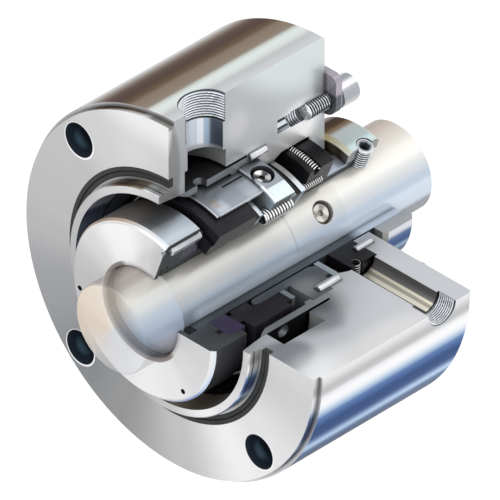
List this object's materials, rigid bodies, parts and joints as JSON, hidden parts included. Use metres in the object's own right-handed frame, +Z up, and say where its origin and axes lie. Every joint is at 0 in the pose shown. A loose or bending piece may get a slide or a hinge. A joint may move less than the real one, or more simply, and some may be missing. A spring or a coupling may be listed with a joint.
{
  "type": "pusher mechanical seal",
  "caption": "Cartridge pusher mechanical seal on a stub shaft, cut open to show its spring-loaded sliding face, hard rotating face, flow guide, throttle bushing and clamped sleeve.",
  "frame": {"origin": "where the shaft's axis meets the gland's front mounting face", "axes": "+Y along the shaft from the pumped liquid to the outside, +X to the open section's lower face, +Z up through the flush port"},
  "size_m": [0.2084, 0.2036, 0.2084],
  "materials": {
    "gland_steel": "fine turned, satin cut faces",
    "sealing_rubber": "moulded fluoroelastomer, semi-matt",
    "guide_steel": "turned and polished",
    "carrier_steel": "turned, semi-bright",
    "spring_wire": "bright drawn wire",
    "pin_steel": "ground bright",
    "carbon": "resin-bonded carbon, dark satin",
    "screw_steel": "bright stainless",
    "washer_steel": "plain spring steel",
    "plate_steel": "milled",
    "shaft_steel": "ground, pale",
    "sleeve_steel": "turned",
    "hard_face": "lapped silicon carbide, dark violet-grey",
    "clamp_steel": "polished"
  },
  "bodies": {
    "housing": {"gland_plate": "gland_steel", "gland_gasket": "sealing_rubber", "flow_guide": "guide_steel", "flow_guide_pin": "pin_steel", "spring_carrier": "carrier_steel", "carrier_screws": "screw_steel", "carrier_pin": "pin_steel", "hub_o_ring": "sealing_rubber", "seal_springs": "spring_wire", "throttle_retainer": "carrier_steel", "throttle_bushing": "carbon", "garter_spring": "spring_wire", "throttle_springs": "spring_wire", "throttle_pin": "pin_steel", "cap_screws": "screw_steel", "lock_washers": "washer_steel"},
    "plate_1": {"setting_plate_1": "plate_steel"},
    "plate_2": {"setting_plate_2": "plate_steel"},
    "plate_3": {"setting_plate_3": "plate_steel"},
    "rotor": {"shaft": "shaft_steel", "shaft_screw": "screw_steel", "shaft_sleeve": "sleeve_steel", "sleeve_o_ring": "sealing_rubber", "rotating_face": "hard_face", "rotating_face_o_ring": "sealing_rubber", "face_drive_pins": "pin_steel", "clamp_ring": "clamp_steel", "set_screws": "screw_steel"},
    "face": {"stationary_face": "carbon", "thrust_ring": "carrier_steel", "pusher_o_ring": "sealing_rubber"}
  },
  "joints": [
    {"name": "shaft_spin", "type": "hinge", "parent": "housing", "child": "rotor", "pos_m": [0, 0, 0], "axis": [0, 1, 0], "continuous": true},
    {"name": "face_float", "type": "slide", "parent": "housing", "child": "face", "axis": [0, 1, 0], "range_m": [0, 0.0015], "stiffness_N_per_m": 12000, "springref_m": -0.01, "deforming": ["seal_springs"]},
    {"name": "plate_1_swing", "type": "hinge", "parent": "housing", "child": "plate_1", "pos_m": [0, 0.11017, 0.065], "axis": [0, -1, 0], "range_deg": [0, 90]},
    {"name": "plate_2_swing", "type": "hinge", "parent": "housing", "child": "plate_2", "pos_m": [-0.05629, 0.11017, -0.0325], "axis": [0, 1, 0], "range_deg": [0, 90]},
    {"name": "plate_3_swing", "type": "hinge", "parent": "housing", "child": "plate_3", "pos_m": [0.05629, 0.11017, -0.0325], "axis": [0, -1, 0], "range_deg": [0, 90]}
  ]
}
